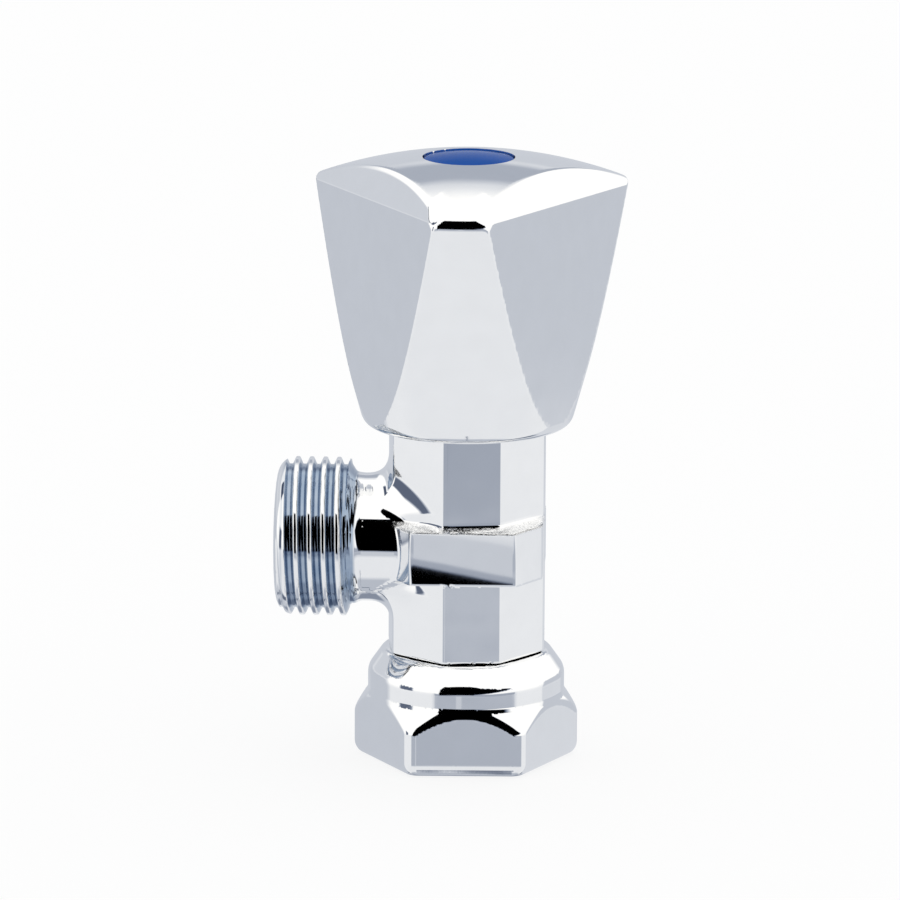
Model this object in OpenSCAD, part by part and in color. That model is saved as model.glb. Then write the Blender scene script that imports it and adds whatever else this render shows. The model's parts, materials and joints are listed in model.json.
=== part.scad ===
// Angle stop valve, G1/2, shown closed. Origin on the column axis at the bottom of
// the union nut, +Z up the spindle, outlet along -X, front along -Y. Sizes in mm.

/* [Union nut] */
// Size across the flats of the union nut
nut_af = 26; // [24.5:0.1:34]
// Turn in which the union nut was left, degrees
nut_turn = 2.4; // [0:0.1:60]
// Height of the hexagon at its corners
nut_corner_h = 5.8; // [4:0.1:8]
// Height of the slope from the corners up to the round collar
nut_slope_h = 3.1; // [1.5:0.1:5]
// Height of the round collar with its rounded shoulder
nut_collar_h = 5.7; // [4.5:0.1:9]
// Radius of the rounded shoulder
nut_round = 3.4; // [1.5:0.1:3.8]
// Thickness of the nut's web round the tail
nut_web = 2.6; // [1.5:0.1:4]
// Thickness of the flat inlet gasket
inlet_gasket_t = 2; // [1:0.1:3]

/* [Body] */
// Size across the flats of the eight-sided column
column_af = 20.5; // [19:0.1:30]
// Turn of the column's flats from the outlet, degrees
facet_turn = 7.3; // [0:0.1:22]
// Height of the column's bottom face above the nut
column_gap = 0.15; // [0.05:0.05:1]
// Length of the eight-sided column
column_len = 32; // [28:0.5:50]
// Height of the outlet axis above the column's bottom face
outlet_rise = 14.5; // [12:0.1:20]
// Height of the square band round the column
band_h = 6.8; // [4:0.1:10]
// How far the band stands out of the column's flats
band_out = 0.5; // [0.2:0.05:2]
// Cut across the corners of the band
band_cut = 3.7; // [2:0.1:5]
// Radius of the inlet bore
inlet_r = 5; // [3:0.1:5.5]
// Wall of the tail round the inlet bore
tail_wall = 2.5; // [2:0.1:3.5]
// Depth of the seat lip below the outlet axis
seat_drop = 4.2; // [3:0.1:6]
// Width of the seat lip
seat_lip = 1.1; // [0.6:0.1:1.5]

/* [Outlet] */
// Distance of the outlet's end face from the column axis
outlet_end = 25; // [24:0.1:45]
// Radius of the outlet bore
outlet_r = 6.6; // [5:0.1:7]
// Wall of the plain neck behind the outlet thread
neck_wall = 1.85; // [1.5:0.05:2.6]
// Number of crests on the outlet thread
outlet_crests = 5; // [3:1:7]
// Outer radius of the G1/2 thread
g_major_r = 10.478; // [10:0.001:14]
// Pitch of the G1/2 thread
g_pitch = 1.814; // [1.5:0.001:2.1]

/* [Handle] */
// How far the handle's skirt hangs down over the column
skirt_lap = 1.9; // [1:0.1:5]
// Gap between the column's corners and the skirt
skirt_gap = 0.7; // [0.3:0.1:2]
// Wall of the die-cast handle
handle_wall = 1.8; // [1.2:0.1:2.6]
// How far the three side planes stand outside the skirt's rim
side_step = 0.3; // [0.1:0.1:3]
// How far the corners reach out beyond the skirt's rim
corner_reach = 8.6; // [5:0.1:14]
// Height of the handle's corners above the skirt's rim
corner_h = 31; // [29:0.5:45]
// Height of the domed top above the corners
crown_h = 4.9; // [3.5:0.1:8]
// Radius of the domed top
dome_r = 60; // [45:1:90]
// Radius of the skirt's rounded edge
skirt_round = 1.5; // [0.5:0.1:1.7]
// Lean of the bevels over the three sides, degrees
bevel_lean = 28.8; // [15:0.1:45]
// Radius of the index cap
cap_r = 5.95; // [5.3:0.05:8]
// Radius of the index cap's dome
cap_dome_r = 30; // [15:1:60]

/* [Headwork] */
// Lead of the left-hand drive thread
drive_lead = 1.5; // [1:0.1:2.5]
// Turns of the handle from closed to open
open_turns = 2.5; // [1:0.25:3]
// Outer radius of the drive thread
drive_r = 3.4; // [2.8:0.05:3.8]
// Depth of the drive thread
drive_depth = 0.65; // [0.4:0.05:0.9]
// Radius of the stem in the packing bore
stem_r = 4; // [3.6:0.05:5]
// Section of the stem's O-rings
oring_d = 0.92; // [0.7:0.02:1.2]
// How far the bonnet's hexagon stands outside its thread
bonnet_step = 0.85; // [0.5:0.05:3]
// Height of the bonnet's hexagon
bonnet_hex_h = 4; // [3:0.1:8]
// Height of the bonnet's neck above the hexagon
bonnet_neck_h = 3; // [1.5:0.1:6]
// Thickness of the gasket under the bonnet
bonnet_gasket_t = 0.8; // [0.5:0.1:2]
// Thickness of the seat washer
washer_t = 2.56; // [1.5:0.02:4]
// Radius of the screw that holds the seat washer
seat_screw_r = 1.5; // [1:0.1:2]
// Length of the splined end of the spindle
spline_len = 7.4; // [6:0.1:9]

/* [Hidden] */
// clearances
run_gap = 0.05;
slide_gap = 0.12;
drive_gap = 0.2;
touch = 0.02;
// G1/2 thread form: rings with the true flank angle
g_depth = 1.162;
g_root_r = g_major_r - g_depth;
g_flank = g_depth * tan(27.5);
g_land = g_pitch - 2 * g_flank - 0.15;
g_minor_in = g_root_r + 0.004;
lead_in = 0.4;
// heights of the nut and the tail
nut_h = nut_corner_h + nut_slope_h + nut_collar_h;
collar_r = nut_af / 2 - run_gap;
nut_thread_top = lead_in + 4 * g_pitch + 0.094;
gasket_z = nut_thread_top + run_gap;
tail_z = gasket_z + inlet_gasket_t;
tail_r = inlet_r + tail_wall;
spigot_r = tail_r - 0.7;
wire_r = 0.58;
wire_z = nut_h - nut_web - wire_r - 0.2;
relief_r = g_minor_in + 1.08;
// heights of the body
column_z = nut_h + column_gap;
column_top = column_z + column_len;
column_corner_r = column_af / 2 / cos(22.5);
outlet_z = column_z + outlet_rise;
seat_z = outlet_z - seat_drop;
seat_r = inlet_r + seat_lip;
chamber_r = seat_r + 1.5;
band_r = column_af / 2 + band_out;
neck_r = outlet_r + neck_wall;
out_first = outlet_end - 1.3;
out_last = out_first - (outlet_crests - 1) * g_pitch;
shoulder_s = out_last - g_land / 2 - g_flank - 0.25;
// bonnet, spindle and plunger
lift = open_turns * drive_lead;
plate_z = seat_z + touch + washer_t + touch;
plate_t = 1.9;
bonnet_z = plate_z + plate_t + lift + 1.95;
bonnet_top = column_top + bonnet_gasket_t;
neck_top = bonnet_top + bonnet_hex_h + bonnet_neck_h;
guide_r = stem_r + 1.5;
plunger_in_r = guide_r - slide_gap;
sleeve_r = guide_r / cos(30) + 1.05;
bonnet_r = sleeve_r + 0.75;
bore_r = bonnet_r + run_gap;
bonnet_in_r = bonnet_r + bonnet_step;
shoulder_z = bonnet_top - 0.6;
thrust_t = 0.56;
stem_collar_h = 1.5;
stem_collar_z = shoulder_z - thrust_t - 2 * touch - stem_collar_h;
plunger_top = stem_collar_z - lift - 0.35;
spindle_z = plunger_top - 6;
relief_z = spindle_z - lift - 0.45;
groove_h = oring_d + 0.28;
groove_r = stem_r + run_gap - oring_d - 0.03;
oring_1 = bonnet_top + 0.8;
oring_2 = neck_top - 3.4;
slip_t = 0.48;
clip_z = neck_top + slip_t + 0.04;
clip_t = 0.62;
spline_z = clip_z + clip_t + 0.3;
spline_tip = stem_r - run_gap;
spline_root = spline_tip - 0.5;
spindle_top = spline_z + spline_len;
screw_r = 2;
// handle
skirt_z = column_top - skirt_lap;
mouth_r = column_corner_r + skirt_gap;
skirt_r = mouth_r + handle_wall;
handle_in_r = skirt_r + side_step;
flare = corner_reach / corner_h;
top_z = skirt_z + corner_h;
dome_z = top_z + crown_h;
hollow_top = top_z - 0.9;
insert_z = spline_z + 0.25;
insert_in_r = spline_tip + 2.05;
insert_len = spline_len + 1.1;
web_z = insert_z + insert_len + 2 * run_gap;
web_t = 1.2;
hub_r = (insert_in_r + run_gap) / cos(30) + 1.6;
head_r = 3.9;
head_h = 3;
lock_t = 0.7;
well_z = web_z + web_t;
well_r = head_r + 0.9;
cap_edge_z = dome_z - dome_r + sqrt(dome_r * dome_r - cap_r * cap_r) - 0.25;
cap_t = 1.8;
cap_floor = cap_edge_z - cap_t;
// colours
chrome = [0.80, 0.82, 0.84];
brass = [0.78, 0.62, 0.30];
rubber = [0.10, 0.10, 0.11];
steel = [0.62, 0.63, 0.65];
acetal = [0.90, 0.88, 0.80];
blue = [0.10, 0.30, 0.66];

module ring(r_out, r_in, z0, z1)
    rotate_extrude() polygon([[r_in, z0], [r_out, z0], [r_out, z1], [r_in, z1]]);

module hex(in_r, z0, z1)
    translate([0, 0, z0]) cylinder(r = in_r / cos(30), h = z1 - z0, $fn = 6);

// Thread crests one after the other as level rings: [radius, height] going up.
function crests(first, count, step, crest_r, root_r, land, flank) = [
    for (k = [0 : count - 1], p = [
        [root_r, -land / 2 - flank], [crest_r, -land / 2],
        [crest_r, land / 2], [root_r, land / 2 + flank]])
        [p[0], first + k * step + p[1]]];

// Turned spigot, local axis up = away from the column.
module outlet_spigot() rotate([0, -90, 0]) rotate_extrude() {
    polygon(concat(
        [[0, 0], [neck_r, 0], [neck_r, shoulder_s], [g_root_r, shoulder_s]],
        crests(out_last, outlet_crests, g_pitch, g_major_r, g_root_r, g_land, g_flank),
        [[g_root_r - 0.4, outlet_end], [0, outlet_end]]));
    // fillet behind the thread
    fillet = g_root_r - neck_r;
    translate([neck_r, shoulder_s - fillet]) difference() {
        square(fillet);
        translate([fillet, 0]) circle(r = fillet);
    }
}

module column_prism()
    rotate([0, 0, facet_turn + 22.5]) translate([0, 0, column_z])
        cylinder(r = column_corner_r, h = column_len, $fn = 8);

module square_band() translate([0, 0, outlet_z - band_h / 2 - 0.2])
    linear_extrude(band_h) difference() {
        square(2 * band_r, center = true);
        for (k = [0 : 3]) rotate(k * 90) translate([band_r, band_r])
            rotate(45) square(band_cut * sqrt(2), center = true);
    }

// Tail with the seat, turned in one piece and pressed into the column's foot.
module inlet_tail() color(brass) rotate_extrude() polygon([
    [inlet_r + 0.4, tail_z], [tail_r - 0.3, tail_z], [tail_r, tail_z + 0.3],
    [tail_r, wire_z - wire_r - touch], [tail_r - 0.35, wire_z - wire_r - touch],
    [tail_r - 0.35, wire_z + wire_r + touch], [tail_r, wire_z + wire_r + touch],
    [tail_r, column_z], [spigot_r, column_z], [spigot_r, seat_z - 1],
    [seat_r, seat_z - 1], [seat_r, seat_z], [inlet_r, seat_z], [inlet_r, tail_z + 0.4]]);

// Seat of the tail, chamber and bonnet bore.
module water_way() rotate_extrude() polygon([
    [0, column_z - 1], [spigot_r + touch, column_z - 1], [spigot_r + touch, seat_z - 1],
    [chamber_r, seat_z - 1], [chamber_r, bonnet_z + 0.8],
    [bore_r, bonnet_z + 0.8], [bore_r, column_top - 0.5],
    [bore_r + 0.5, column_top], [bore_r + 0.5, column_top + 1], [0, column_top + 1]]);

module valve_body() color(chrome) difference() {
    union() {
        column_prism();
        square_band();
        translate([0, 0, outlet_z]) outlet_spigot();
    }
    water_way();
    // outlet bore, then the port into the chamber
    translate([0, 0, outlet_z]) rotate([0, -90, 0]) {
        translate([0, 0, band_r + 0.75]) cylinder(r = outlet_r, h = outlet_end);
        translate([0, 0, chamber_r - 1.3]) cylinder(r = outlet_r - 1.6, h = band_r);
    }
}

module nut_inside() rotate_extrude() polygon(concat(
    [[0, -1], [g_minor_in + 1, -1], [g_minor_in + 1, 0], [g_minor_in, lead_in]],
    [for (k = [0 : 3], p = [[0, 0], [g_depth, g_flank],
         [g_depth, g_flank + 0.15], [0, 2 * g_flank + 0.15]])
         [g_minor_in + p[0], lead_in + 0.5 + k * g_pitch + p[1]]],
    [[g_minor_in, nut_thread_top], [relief_r, nut_thread_top],
     [relief_r, nut_h - nut_web], [tail_r + 0.15, nut_h - nut_web],
     [tail_r + 0.15, nut_h + 1], [0, nut_h + 1]]));

module union_nut() color(chrome) rotate([0, 0, nut_turn]) difference() {
    intersection() {
        hex(nut_af / 2, 0, nut_h);
        // turned outside: rounded foot, slope over the corners, collar, shoulder
        rotate_extrude() polygon(concat(
            [[0, 0], [nut_af / 2 / cos(30) - 0.8, 0], [nut_af / 2 / cos(30), 0.8],
             [nut_af / 2 / cos(30), nut_corner_h], [collar_r, nut_corner_h + nut_slope_h]],
            [for (a = [0 : 15 : 90]) [collar_r - nut_round * (1 - cos(a)),
                                      nut_h - nut_round * (1 - sin(a))]],
            [[0, nut_h]]));
    }
    nut_inside();
}

module retaining_ring() color(steel) translate([0, 0, wire_z])
    rotate([0, 0, 105]) rotate_extrude(angle = 330)
        translate([tail_r - 0.35 + wire_r + touch, 0]) circle(r = wire_r);

module inlet_gasket() color(rubber)
    ring(g_minor_in - 0.07, inlet_r + 0.5, gasket_z, tail_z - touch);

module bonnet() color(brass) difference() {
    union() {
        // sleeve and fixing thread
        rows = floor((column_top - bonnet_z - 2.5));
        rotate_extrude() polygon(concat(
            [[0, bonnet_z], [sleeve_r - 0.3, bonnet_z], [sleeve_r, bonnet_z + 0.3]],
            crests(bonnet_z + 2, rows, 1, bonnet_r, bonnet_r - 0.6, 0.25, 0.35),
            [[bonnet_r - 0.25, bonnet_z + rows + 2.4], [bonnet_r - 0.25, bonnet_top],
             [0, bonnet_top]]));
        // hexagon with turned corners
        intersection() {
            rotate([0, 0, 30]) hex(bonnet_in_r, bonnet_top, bonnet_top + bonnet_hex_h);
            rotate_extrude() polygon([[0, bonnet_top],
                [bonnet_in_r + 0.6, bonnet_top], [bonnet_in_r + 1.2, bonnet_top + 0.6],
                [bonnet_in_r + 1.2, bonnet_top + bonnet_hex_h - 0.7],
                [bonnet_in_r + 0.4, bonnet_top + bonnet_hex_h],
                [0, bonnet_top + bonnet_hex_h]]);
        }
        // neck
        rotate_extrude() polygon([[0, bonnet_top + 1], [stem_r + 2, bonnet_top + 1],
            [stem_r + 2, neck_top - 0.4], [stem_r + 1.6, neck_top], [0, neck_top]]);
    }
    // hexagon socket that keeps the plunger from turning
    hex(guide_r, bonnet_z - 1, stem_collar_z);
    rotate_extrude() polygon([[0, stem_collar_z - 1], [guide_r, stem_collar_z - 1],
        [guide_r, shoulder_z], [stem_r + run_gap, shoulder_z],
        [stem_r + run_gap, neck_top - 0.3], [stem_r + 0.35, neck_top],
        [stem_r + 0.35, neck_top + 1], [0, neck_top + 1]]);
}

module bonnet_gasket() color(rubber)
    ring(bonnet_in_r + 0.6, bonnet_r + 0.15, column_top, bonnet_top);

module thrust_washer() color(acetal)
    ring(guide_r - 0.2, stem_r + 0.08, shoulder_z - touch - thrust_t, shoulder_z - touch);

// Cross-section of a one-start thread: the axial profile laid round the circle.
function drive_section(crest, root) = [for (k = [0 : 17])
    let (a = k * 20, r = a <= 100 ? crest : a < 180 ? crest + (root - crest) * (a - 100) / 80
        : a <= 280 ? root : root + (crest - root) * (a - 280) / 80)
    [r * cos(a), r * sin(a)]];

// Left-hand drive thread; the same height always has the same turn.
module drive_helix(crest, root, z0, z1)
    translate([0, 0, z0]) rotate([0, 0, -360 * z0 / drive_lead])
        linear_extrude(height = z1 - z0, twist = 360 * (z1 - z0) / drive_lead,
                       slices = round(14 * (z1 - z0) / drive_lead))
            polygon(drive_section(crest, root));

function spline_points(tip, root) = [for (k = [0 : 19],
    p = [[root, -7], [root, -2], [tip, 2], [tip, 7]])
    [p[0] * cos(k * 18 + p[1]), p[0] * sin(k * 18 + p[1])]];

module spindle() color(brass) difference() {
    union() {
        drive_helix(drive_r, drive_r - drive_depth, spindle_z, stem_collar_z + 0.3);
        rotate_extrude() polygon([
            [0, stem_collar_z], [guide_r - 0.1, stem_collar_z],
            [guide_r - 0.1, stem_collar_z + stem_collar_h], [stem_r, stem_collar_z + stem_collar_h],
            [stem_r, oring_1 - groove_h / 2], [groove_r, oring_1 - groove_h / 2],
            [groove_r, oring_1 + groove_h / 2], [stem_r, oring_1 + groove_h / 2],
            [stem_r, oring_2 - groove_h / 2], [groove_r, oring_2 - groove_h / 2],
            [groove_r, oring_2 + groove_h / 2], [stem_r, oring_2 + groove_h / 2],
            [stem_r, clip_z - 0.04], [stem_r - 0.5, clip_z - 0.04],
            [stem_r - 0.5, clip_z + clip_t + 0.04], [stem_r, clip_z + clip_t + 0.04],
            [stem_r, spline_z], [0, spline_z]]);
        // splined end
        intersection() {
            translate([0, 0, spline_z - 0.1]) linear_extrude(spline_len + 0.1)
                polygon(spline_points(spline_tip, spline_root));
            rotate_extrude() polygon([[0, spline_z - 1], [spline_tip + 1, spline_z - 1],
                [spline_tip + 1, spindle_top - 1.1], [spline_root - 0.05, spindle_top], [0, spindle_top]]);
        }
    }
    // tapped hole for the handle screw
    rotate_extrude() polygon([[0, spline_z + 0.3], [screw_r + run_gap, spline_z + 1.5],
        [screw_r + run_gap, spindle_top - 0.4], [screw_r + 0.45, spindle_top],
        [screw_r + 0.45, spindle_top + 1], [0, spindle_top + 1]]);
}

module oring(z) color(rubber) translate([0, 0, z]) rotate_extrude()
    translate([(groove_r + stem_r + run_gap) / 2, 0]) circle(r = oring_d / 2);

module oring_lower() oring(oring_1);

module oring_upper() oring(oring_2);

module slip_washer() color(acetal)
    ring(stem_r + 1.6, stem_r + 0.08, neck_top + touch, neck_top + touch + slip_t - touch);

module stem_circlip() color(steel) translate([0, 0, clip_z]) linear_extrude(clip_t)
    difference() {
        circle(r = stem_r + 1.3);
        circle(r = stem_r - 0.45);
        translate([0, -2.2]) square([stem_r + 4, 4.4]);
    }

module plunger() color(brass) difference() {
    union() {
        intersection() {
            hex(plunger_in_r, plate_z + 1, plunger_top);
            rotate_extrude() polygon([[0, plate_z], [plunger_in_r + 0.7, plate_z],
                [plunger_in_r + 0.7, plunger_top - 0.8], [plunger_in_r - 0.1, plunger_top],
                [0, plunger_top]]);
        }
        // plate over the washer
        rotate_extrude() polygon([[0, plate_z], [chamber_r - 1, plate_z],
            [chamber_r - 1, plate_z + plate_t - 0.4], [chamber_r - 1.4, plate_z + plate_t],
            [0, plate_z + plate_t]]);
    }
    drive_helix(drive_r + drive_gap, drive_r - drive_depth + drive_gap,
                plunger_top - 5.3, plunger_top + 0.4);
    rotate_extrude() polygon([[0, relief_z], [drive_r + 0.5, relief_z],
        [drive_r + 0.5, plunger_top - 5.2], [drive_r - 0.4, plunger_top - 4.7],
        [0, plunger_top - 4.7]]);
    ring(seat_screw_r + run_gap, 0, plate_z - 1, relief_z + 0.1);
}

module seat_washer() color(rubber)
    ring(seat_r + 0.25, seat_screw_r + 0.1, seat_z + touch, seat_z + touch + washer_t);

module washer_screw() color(brass) difference() {
    screw_head_r = seat_screw_r + 1.7;
    rotate_extrude() polygon([[0, seat_z - 1.4], [screw_head_r - 0.6, seat_z - 1.4],
        [screw_head_r, seat_z - 0.8], [screw_head_r, seat_z], [seat_screw_r, seat_z],
        [seat_screw_r, relief_z - 0.4], [0, relief_z - 0.4]]);
    translate([-screw_head_r - 1, -0.4, seat_z - 2]) cube([2 * screw_head_r + 2, 0.8, 1.3]);
}

function wall_r(z) = skirt_r + (z - skirt_z) * flare;

module side_prism(in_r, z0, z1)
    rotate([0, 0, 30]) translate([0, 0, z0]) cylinder(r = 2 * in_r, h = z1 - z0, $fn = 3);

module cone_outside() rotate_extrude() {
    // rounded rim: a circle that touches the rim plane and the cone
    round_r = skirt_r + skirt_round * (flare - sqrt(1 + flare * flare));
    polygon([[0, skirt_z], [round_r, skirt_z],
        [round_r + skirt_round * cos(atan(flare)), skirt_z + skirt_round * (1 - sin(atan(flare)))],
        [wall_r(dome_z + 1), dome_z + 1], [0, dome_z + 1]]);
    intersection() {
        translate([round_r, skirt_z + skirt_round]) circle(r = skirt_round);
        translate([round_r - 0.1, skirt_z]) square(skirt_round * 2);
    }
}

module handle_outside() difference() {
    intersection() {
        cone_outside();
        side_prism(handle_in_r, skirt_z - 5, dome_z + 10);
        translate([0, 0, dome_z - dome_r]) sphere(r = dome_r);
    }
    // bevels over the three sides
    for (k = [90, 210, 330]) rotate([0, 0, k])
        translate([handle_in_r, 0, top_z - 0.2]) rotate([0, -bevel_lean, 0])
            translate([0, -50, -20]) cube([30, 100, 80]);
}

module handle_hollow() difference() {
    union() {
        intersection() {
            rotate_extrude() polygon([[0, skirt_z + 5], [wall_r(skirt_z + 5) - handle_wall, skirt_z + 5],
                [wall_r(hollow_top) - handle_wall - 0.6, hollow_top], [0, hollow_top]]);
            side_prism(handle_in_r - handle_wall, skirt_z + 4, hollow_top + 5);
        }
        rotate_extrude() polygon([[0, skirt_z - 1], [mouth_r, skirt_z - 1], [mouth_r, skirt_z + 5.6],
            [mouth_r - 0.6, skirt_z + 6.4], [0, skirt_z + 6.4]]);
    }
    // hub and its three ribs
    rotate_extrude() polygon([[0, spline_z + 0.15], [hub_r - 0.4, spline_z + 0.15],
        [hub_r, spline_z + 0.55], [hub_r, dome_z], [0, dome_z]]);
    for (k = [-90, 30, 150]) rotate([0, 0, k])
        translate([hub_r - 1, -0.8, spline_z + 4]) cube([30, 1.6, 30]);
}

module handle() color(chrome) difference() {
    handle_outside();
    handle_hollow();
    // pocket of the insert, screw hole, screw well and cap recess
    hex(insert_in_r + run_gap, spline_z - 4, web_z);
    rotate_extrude() polygon([[0, web_z - 1], [screw_r + 0.2, web_z - 1], [screw_r + 0.2, well_z],
        [well_r, well_z], [well_r, cap_floor - run_gap], [cap_r + 0.1, cap_floor - run_gap],
        [cap_r + 0.1, dome_z + 1], [0, dome_z + 1]]);
}

module spline_insert() color(acetal) difference() {
    hex(insert_in_r, insert_z, insert_z + insert_len);
    translate([0, 0, insert_z - 1]) linear_extrude(insert_len + 2)
        polygon(spline_points(spline_tip + 0.07, spline_root + 0.07));
    rotate_extrude() polygon([[0, insert_z - 1], [spline_tip + 0.6, insert_z - 1],
        [spline_tip + 0.6, insert_z], [spline_tip, insert_z + 0.6], [0, insert_z + 0.6]]);
}

module lock_washer() color(steel) translate([0, 0, well_z + touch]) linear_extrude(lock_t)
    difference() {
        circle(r = head_r - 0.1);
        circle(r = screw_r + 0.15);
        rotate([0, 0, 40]) translate([0, -0.2]) square([head_r + 2, 0.4]);
    }

module handle_screw() color(steel) {
    head_z = well_z + lock_t + 2 * touch;
    difference() {
        rotate_extrude() polygon([[0, spline_z + 2], [screw_r - 0.4, spline_z + 2],
            [screw_r, spline_z + 2.4], [screw_r, head_z], [head_r, head_z],
            [head_r, head_z + head_h - 1.6], [head_r - 0.7, head_z + head_h - 0.6],
            [head_r - 2.3, head_z + head_h - 0.1], [0, head_z + head_h]]);
        for (a = [0, 90]) rotate([0, 0, a])
            translate([-2, -0.45, head_z + head_h - 1.6]) cube([4, 0.9, 3]);
    }
}

module index_cap() color(blue) {
    // domed disc
    intersection() {
        rotate_extrude() polygon([[0, cap_floor], [cap_r - 0.05, cap_floor],
            [cap_r, cap_floor + 0.05], [cap_r, dome_z + 1], [0, dome_z + 1]]);
        translate([0, 0, cap_edge_z - sqrt(cap_dome_r * cap_dome_r - cap_r * cap_r)])
            sphere(r = cap_dome_r);
    }
    // snap skirt in the screw well
    rotate_extrude() polygon([[well_r - 1.1, cap_floor - 4.2], [well_r - 0.3, cap_floor - 4.2],
        [well_r - touch, cap_floor - 3.4], [well_r - 0.3, cap_floor - 2.6],
        [well_r - 0.3, cap_floor + 0.5], [well_r - 1.1, cap_floor + 0.5]]);
}

valve_body();
inlet_tail();
union_nut();
retaining_ring();
inlet_gasket();
bonnet();
bonnet_gasket();
spindle();
thrust_washer();
oring_lower();
oring_upper();
slip_washer();
stem_circlip();
plunger();
seat_washer();
washer_screw();
handle();
spline_insert();
lock_washer();
handle_screw();
index_cap();
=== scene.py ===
"""Looks of the angle shut-off valve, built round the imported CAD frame.

Sizes in the sliders are millimetres on the real valve, as in the part's source.
The column axis is Z, the outlet points along -X and the bare pad faces -Y.
"""

import json
import math

import bmesh
import bpy
import numpy as np
from bpy.props import FloatProperty, FloatVectorProperty, IntProperty, PointerProperty
from mathutils import Matrix, Vector


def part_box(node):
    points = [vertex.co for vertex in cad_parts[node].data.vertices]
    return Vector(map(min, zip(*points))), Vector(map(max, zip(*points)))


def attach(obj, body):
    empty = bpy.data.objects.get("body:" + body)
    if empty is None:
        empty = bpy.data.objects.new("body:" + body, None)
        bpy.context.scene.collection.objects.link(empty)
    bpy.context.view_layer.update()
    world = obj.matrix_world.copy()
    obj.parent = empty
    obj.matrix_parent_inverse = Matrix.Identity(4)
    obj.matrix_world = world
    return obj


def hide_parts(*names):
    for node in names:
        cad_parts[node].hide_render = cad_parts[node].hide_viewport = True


bl_info = {
    "name": "Angle shut-off valve",
    "version": (1, 0, 0),
    "blender": (4, 5, 0),
    "location": "3D View > Sidebar > Valve",
    "description": "Chrome angle valve with union nut, threaded outlet and three-cornered handle",
    "category": "Add Mesh",
}

MM = 0.001
TINY = 1e-12

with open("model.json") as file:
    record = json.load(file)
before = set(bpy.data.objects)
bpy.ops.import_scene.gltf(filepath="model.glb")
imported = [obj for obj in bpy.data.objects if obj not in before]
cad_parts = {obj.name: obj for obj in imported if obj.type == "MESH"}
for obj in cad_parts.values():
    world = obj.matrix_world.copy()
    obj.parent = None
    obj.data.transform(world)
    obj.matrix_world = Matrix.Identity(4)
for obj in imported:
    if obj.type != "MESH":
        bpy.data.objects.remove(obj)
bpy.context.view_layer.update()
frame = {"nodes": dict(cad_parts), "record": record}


def cad_size(node, axis, side):
    """One side of a CAD node's box at rest, in millimetres."""
    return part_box(node)[side][axis] / MM


NUT_TOP = cad_size("union_nut", 2, 1)
COLUMN_TOP = cad_size("bonnet_gasket", 2, 0)
OUTLET_END = -cad_size("valve_body", 0, 0)
RIM_Z = cad_size("handle", 2, 0)
CAP_TOP = cad_size("index_cap", 2, 1)
CAP_RADIUS = cad_size("index_cap", 0, 1)


def millimetres(name, default, description, lowest=0.0, highest=200.0):
    """A size slider in millimetres."""
    return FloatProperty(name=name, description=description, default=default,
                         min=lowest, max=highest, precision=3)


def colour(name, default, description):
    """A linear colour swatch."""
    return FloatVectorProperty(name=name, description=description, default=default,
                               subtype="COLOR", size=3, min=0.0, max=1.0)


def degrees(name, default, description):
    """An angle slider, its default given in degrees."""
    return FloatProperty(name=name, description=description, default=math.radians(default),
                         subtype="ANGLE", unit="ROTATION")


class ColumnSizes(bpy.types.PropertyGroup):
    """Sizes of the forged body."""

    flats: millimetres("Column flats", 20.5, "Size across the flats of the eight-sided column")
    turn: degrees("Facet turn", 7.3, "Turn of the flats from the outlet")
    top: millimetres("Column top", COLUMN_TOP, "Height of the column's top face")
    outlet_z: millimetres("Outlet height", NUT_TOP + 14.65, "Height of the outlet axis")
    band_out: millimetres("Band stand-out", 0.5, "How far the band stands out of the flats")
    band_height: millimetres("Band height", 7.1, "Height of the square band")
    band_cut: millimetres("Band corner", 11.69, "Distance of the band's corner cuts from the axis")
    dish: FloatProperty(name="Pad dish", description="Hollow of the pad, per millimetre",
                        default=0.0165, min=0.0, max=0.1, precision=4)
    band_cove: millimetres("Band cove", 1.1, "Height of the hollow above the band")
    neck_radius: millimetres("Neck radius", 8.45, "Radius of the plain neck behind the thread")
    neck_end: millimetres("Neck end", 13.4, "Distance from the axis at which the thread begins")
    neck_fillet: millimetres("Neck fillet", 2.9, "Rounding between the neck and the column")
    bore_radius: millimetres("Outlet bore", 6.6, "Radius of the outlet bore")
    seat_drop: millimetres("Seat drop", 4.2, "Depth of the seat lip below the outlet axis")
    mesh_step: millimetres("Mesh step", 0.34, "Spacing of the mesh", 0.15, 2.0)


class ThreadSizes(bpy.types.PropertyGroup):
    """Sizes of the two G1/2 pipe threads."""

    major: millimetres("Major radius", 10.478, "Outer radius of the male thread")
    minor: millimetres("Minor radius", 9.50, "Radius at the bottom of the plated male groove")
    pitch: millimetres("Pitch", 1.814, "Rise of the thread in one turn")
    land: millimetres("Crest width", 0.40, "Flat width of a crest")
    flank: millimetres("Flank width", 0.50, "Axial width of a flank")
    around: IntProperty(name="Steps round", description="Mesh steps in one turn",
                        default=144, min=24, max=360)
    per_pitch: IntProperty(name="Steps per pitch", description="Mesh steps along one pitch",
                           default=20, min=8, max=48)


class NutSizes(bpy.types.PropertyGroup):
    """Sizes of the union nut."""

    flats: millimetres("Nut flats", 26.1, "Size across the flats")
    turn: degrees("Nut turn", 2.4, "Turn in which the nut was left")
    corner_height: millimetres("Corner height", 5.8, "Height of the hexagon at its corners")
    slope_height: millimetres("Slope height", 3.1, "Height of the slope up to the collar")
    top: millimetres("Nut top", NUT_TOP, "Height of the nut")
    shoulder: millimetres("Shoulder", 2.2, "Rounding of the collar's shoulder")
    foot_height: millimetres("Foot height", 1.7, "Height over which the foot draws in", 0.1)
    mesh_step: millimetres("Mesh step", 0.31, "Spacing of the mesh", 0.15, 2.0)


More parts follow.
